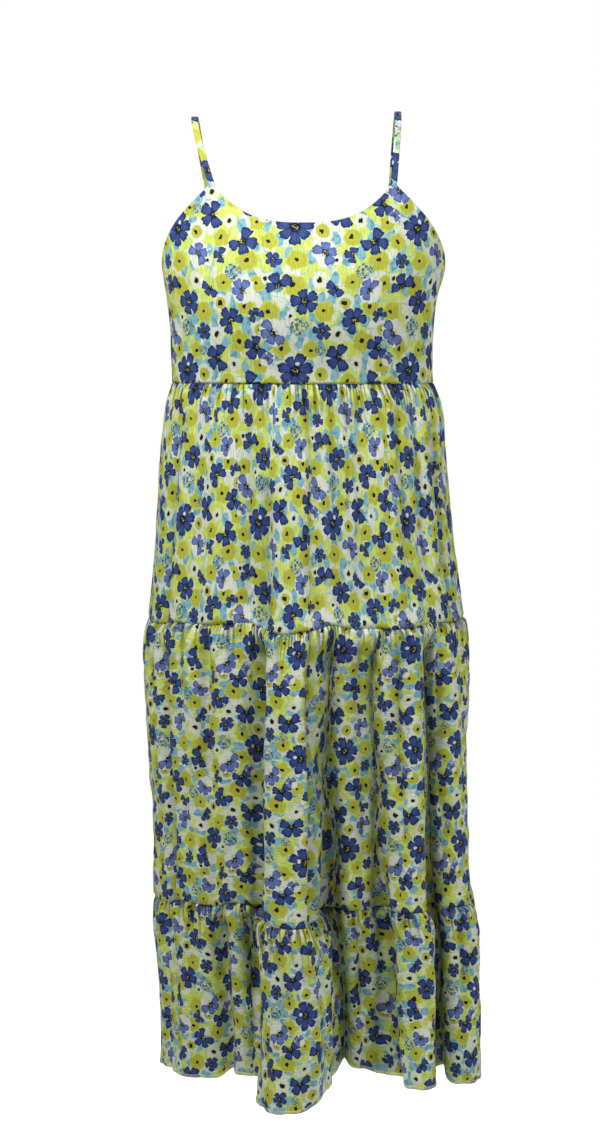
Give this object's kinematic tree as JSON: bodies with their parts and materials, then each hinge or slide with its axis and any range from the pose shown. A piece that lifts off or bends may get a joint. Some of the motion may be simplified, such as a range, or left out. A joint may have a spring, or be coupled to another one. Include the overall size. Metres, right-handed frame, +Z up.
{
  "type": "tiered sundress",
  "caption": "Strappy midi sundress with a scooped neck, a smooth bodice and gathered tiers, in crinkled crepe with a small flower print, in the hollow form it has when worn.",
  "frame": {"origin": "midway between the wearer's shoulders, level with the top of the straps", "axes": "+Z up, the front faces -Y, +X to the right of someone who looks at the front"},
  "size_m": [0.4068, 0.4199, 1.1529],
  "materials": {
    "printed_crepe": "matte crinkled crepe with a flower print"
  },
  "bodies": {
    "root": {"bodice_front": "printed_crepe", "bodice_back": "printed_crepe", "strap_left": "printed_crepe", "strap_right": "printed_crepe", "tier_1_front": "printed_crepe", "tier_1_back": "printed_crepe", "tier_2_front": "printed_crepe", "tier_2_back": "printed_crepe", "tier_3_front": "printed_crepe", "tier_3_back": "printed_crepe"}
  },
  "joints": []
}
